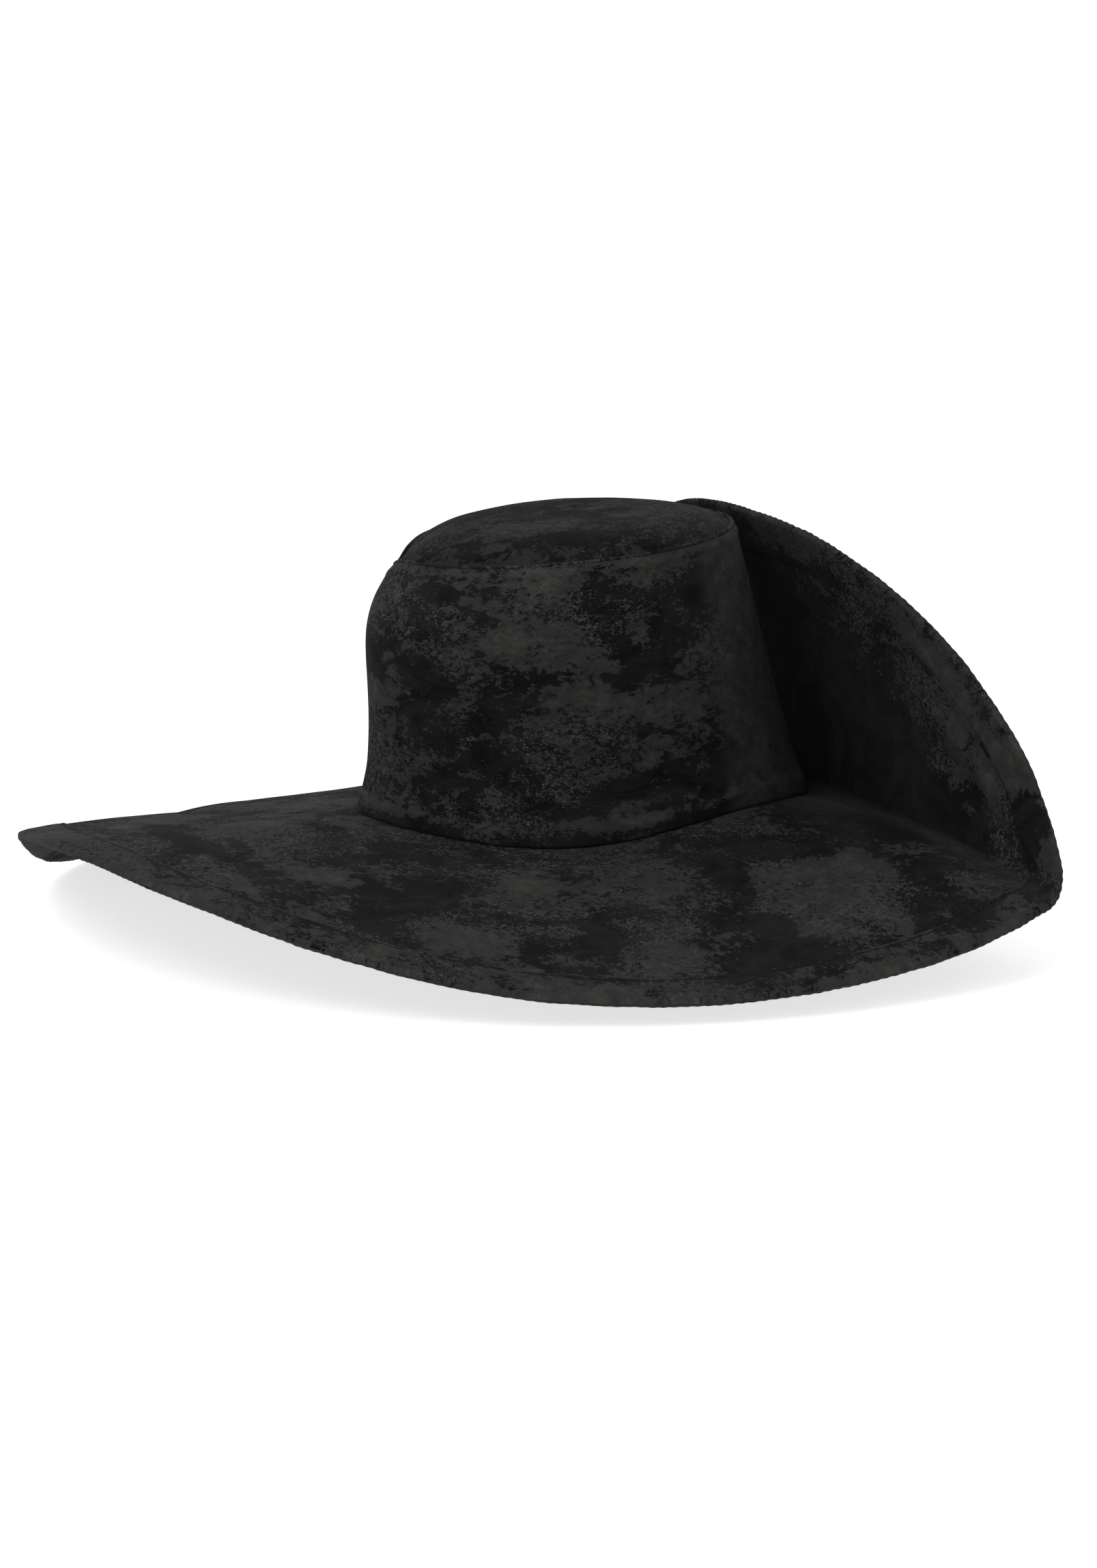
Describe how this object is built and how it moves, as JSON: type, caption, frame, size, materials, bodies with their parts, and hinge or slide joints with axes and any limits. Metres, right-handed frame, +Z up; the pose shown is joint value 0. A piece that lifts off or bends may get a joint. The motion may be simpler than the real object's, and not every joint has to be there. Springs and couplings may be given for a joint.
{
  "type": "costume hat",
  "caption": "Wide-brimmed suede costume hat with a tapering oval crown and a wired brim whose back folds up behind the crown.",
  "frame": {"origin": "centre of the head oval, at the height of the seam between crown and brim", "axes": "+Z up through the crown, -Y towards the wearer's front, +X across the head"},
  "size_m": [0.5404, 0.3736, 0.1772],
  "materials": {
    "suede": "distressed faux suede, near-black with charcoal patches",
    "stiffener": "matte non-woven interlining",
    "lining": "satin lining",
    "tape": "ribbed grosgrain",
    "wire": "drawn galvanised wire",
    "label": "blank woven satin label"
  },
  "bodies": {
    "hat": {"crown_tip_panel": "suede", "crown_tip_interlining": "stiffener", "crown_tip_lining": "lining", "crown_seam_welt": "suede", "crown_side_band": "suede", "crown_side_interlining": "stiffener", "crown_side_lining": "lining", "crown_back_seam_tape": "tape", "sweatband": "tape", "size_label": "label", "brim_top_panel": "suede", "brim_interlining": "stiffener", "brim_under_panel": "suede", "brim_edge_hem": "suede", "brim_edge_wire": "wire"},
    "back_flap": {"flap_top_panel": "suede", "flap_interlining": "stiffener", "flap_under_panel": "suede", "flap_edge_hem": "suede", "flap_edge_wire_left": "wire", "flap_edge_wire_right": "wire", "wire_joiner_sleeve": "wire"}
  },
  "joints": [
    {"name": "flap_fold", "type": "hinge", "parent": "hat", "child": "back_flap", "pos_m": [0, 0.109, -0.0085], "axis": [-1, 0, 0], "range_deg": [0, 85]}
  ]
}
